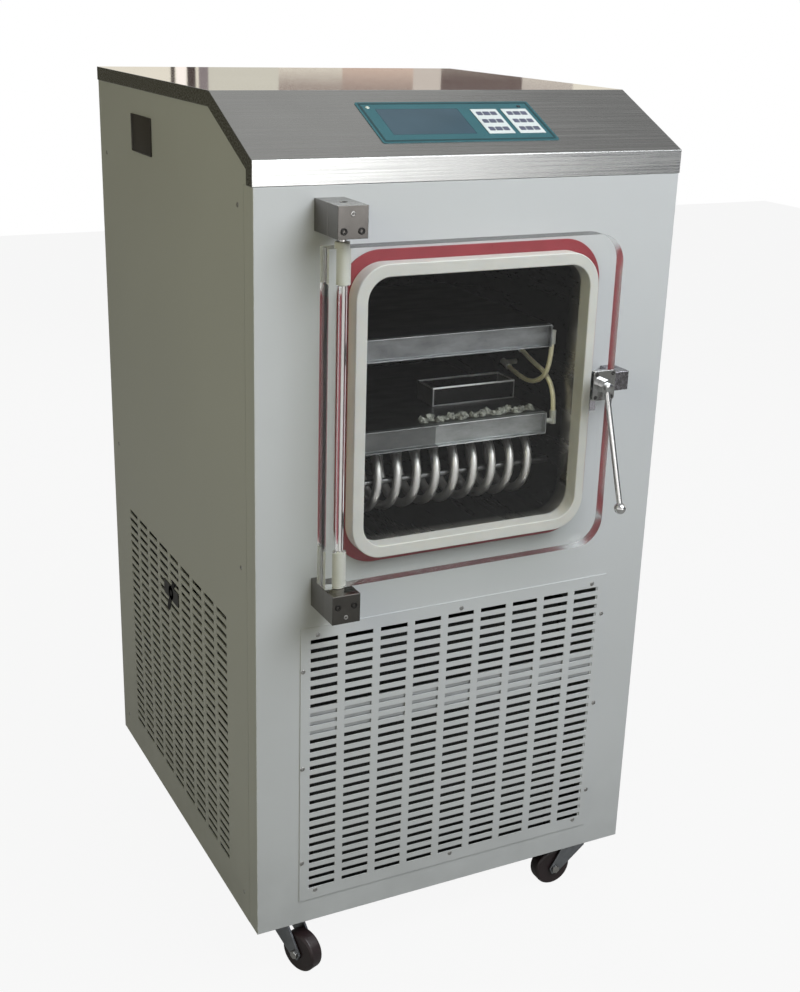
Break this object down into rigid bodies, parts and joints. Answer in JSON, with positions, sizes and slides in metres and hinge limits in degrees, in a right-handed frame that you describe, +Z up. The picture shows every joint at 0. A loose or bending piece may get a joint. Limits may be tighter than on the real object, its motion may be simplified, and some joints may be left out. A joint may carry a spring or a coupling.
{
  "type": "freeze dryer",
  "caption": "Floor-standing shelf freeze dryer on castors: vented cabinet, sloped control panel, square vacuum chamber with heated shelves and a clear hinged door.",
  "frame": {"origin": "centre of the footprint's bounding box, on the floor", "axes": "+X to the right seen from the front, +Y from the door towards the back, +Z up"},
  "size_m": [0.6, 0.8, 1.192],
  "materials": {
    "cabinet_paint": "satin light grey enamel",
    "galvanised_steel": "zinc plated sheet",
    "stainless_steel": "brushed",
    "machined_aluminium": "machined",
    "chrome": "polished",
    "silicone_seal": "milky, soft sheen",
    "red_gasket": "matte",
    "clear_acrylic": "clear, polished faces",
    "white_nylon": "matte",
    "silicone_hose": "translucent, satin",
    "control_film": "printed film, satin",
    "keypad_film": "embossed film",
    "display_glass": "glossy",
    "black_plastic": "matte",
    "condenser_fins": "dark, ribbed",
    "fan_aluminium": "mill finish",
    "black_enamel": "gloss",
    "black_rubber": "matte",
    "castor_steel": "zinc plated",
    "wheel_rubber": "dark moulded"
  },
  "bodies": {
    "cabinet": {"base_pan": "galvanised_steel", "chamber_deck": "galvanised_steel", "front_panel": "cabinet_paint", "front_grille": "cabinet_paint", "cross_rail": "galvanised_steel", "left_side_panel": "cabinet_paint", "right_side_panel": "cabinet_paint", "rear_panel": "cabinet_paint", "top_cover": "stainless_steel", "control_overlay": "control_film", "display_window": "display_glass", "display_module": "black_plastic", "keypad_left": "keypad_film", "keypad_right": "keypad_film", "vacuum_chamber": "stainless_steel", "neck_seal": "silicone_seal", "panel_gasket": "red_gasket", "hinge_rod": "machined_aluminium", "lower_hinge_base": "machined_aluminium", "upper_hinge_base": "machined_aluminium", "lower_hinge_cap": "machined_aluminium", "upper_hinge_cap": "machined_aluminium", "latch_keeper": "machined_aluminium", "upper_shelf_plate": "stainless_steel", "lower_shelf_plate": "stainless_steel", "shelf_brackets_left": "stainless_steel", "shelf_brackets_right": "stainless_steel", "product_tray": "stainless_steel", "upper_hose": "silicone_hose", "lower_hose": "silicone_hose", "hose_elbows": "white_nylon", "evaporator_coil": "stainless_steel", "coil_tie_rod": "stainless_steel", "condenser": "condenser_fins", "fan_shroud": "galvanised_steel", "fan_motor": "black_enamel", "compressor": "black_enamel", "compressor_feet": "black_rubber", "vacuum_pipe": "stainless_steel", "power_inlet": "black_plastic", "drain_port": "black_plastic", "drain_tube": "black_rubber", "castor_plates": "black_enamel"},
    "door": {"door_panel": "clear_acrylic", "lower_bushing": "white_nylon", "upper_bushing": "white_nylon", "latch_hub": "chrome"},
    "latch": {"latch_spindle": "chrome", "latch_tongue": "chrome", "lever_arm": "chrome", "lever_knob": "chrome"},
    "fan": {"condenser_fan": "fan_aluminium"},
    "castor_front_left": {"castor_fork_front_left": "castor_steel"},
    "wheel_front_left": {"castor_wheel_front_left": "wheel_rubber"},
    "castor_front_right": {"castor_fork_front_right": "castor_steel"},
    "wheel_front_right": {"castor_wheel_front_right": "wheel_rubber"},
    "castor_rear_left": {"castor_fork_rear_left": "castor_steel"},
    "wheel_rear_left": {"castor_wheel_rear_left": "wheel_rubber"},
    "castor_rear_right": {"castor_fork_rear_right": "castor_steel"},
    "wheel_rear_right": {"castor_wheel_rear_right": "wheel_rubber"}
  },
  "joints": [
    {"name": "door_hinge", "type": "hinge", "parent": "cabinet", "child": "door", "pos_m": [-0.204, -0.3288, 0.8195], "axis": [0, 0, -1], "range_deg": [0, 170]},
    {"name": "latch_turn", "type": "hinge", "parent": "door", "child": "latch", "pos_m": [0.165, -0.353, 0.835], "axis": [0, -1, 0], "range_deg": [0, 90]},
    {"name": "fan_spin", "type": "hinge", "parent": "cabinet", "child": "fan", "pos_m": [0, -0.176, 0.285], "axis": [0, 1, 0], "continuous": true},
    {"name": "swivel_front_left", "type": "hinge", "parent": "cabinet", "child": "castor_front_left", "pos_m": [-0.24, -0.25, 0.07], "axis": [0, 0, 1], "continuous": true},
    {"name": "roll_front_left", "type": "hinge", "parent": "castor_front_left", "child": "wheel_front_left", "pos_m": [-0.22726, -0.28152, 0.03], "axis": [0.9272, 0.3746, 0], "continuous": true},
    {"name": "swivel_front_right", "type": "hinge", "parent": "cabinet", "child": "castor_front_right", "pos_m": [0.24, -0.25, 0.07], "axis": [0, 0, 1], "continuous": true},
    {"name": "roll_front_right", "type": "hinge", "parent": "castor_front_right", "child": "wheel_front_right", "pos_m": [0.206, -0.25, 0.03], "axis": [0, -1, 0], "continuous": true},
    {"name": "swivel_rear_left", "type": "hinge", "parent": "cabinet", "child": "castor_rear_left", "pos_m": [-0.24, 0.31, 0.07], "axis": [0, 0, 1], "continuous": true},
    {"name": "roll_rear_left", "type": "hinge", "parent": "castor_rear_left", "child": "wheel_rear_left", "pos_m": [-0.2488, 0.27716, 0.03], "axis": [0.9659, -0.2588, 0], "continuous": true},
    {"name": "swivel_rear_right", "type": "hinge", "parent": "cabinet", "child": "castor_rear_right", "pos_m": [0.24, 0.31, 0.07], "axis": [0, 0, 1], "continuous": true},
    {"name": "roll_rear_right", "type": "hinge", "parent": "castor_rear_right", "child": "wheel_rear_right", "pos_m": [0.20805, 0.29837, 0.03], "axis": [0.342, -0.9397, 0], "continuous": true}
  ]
}
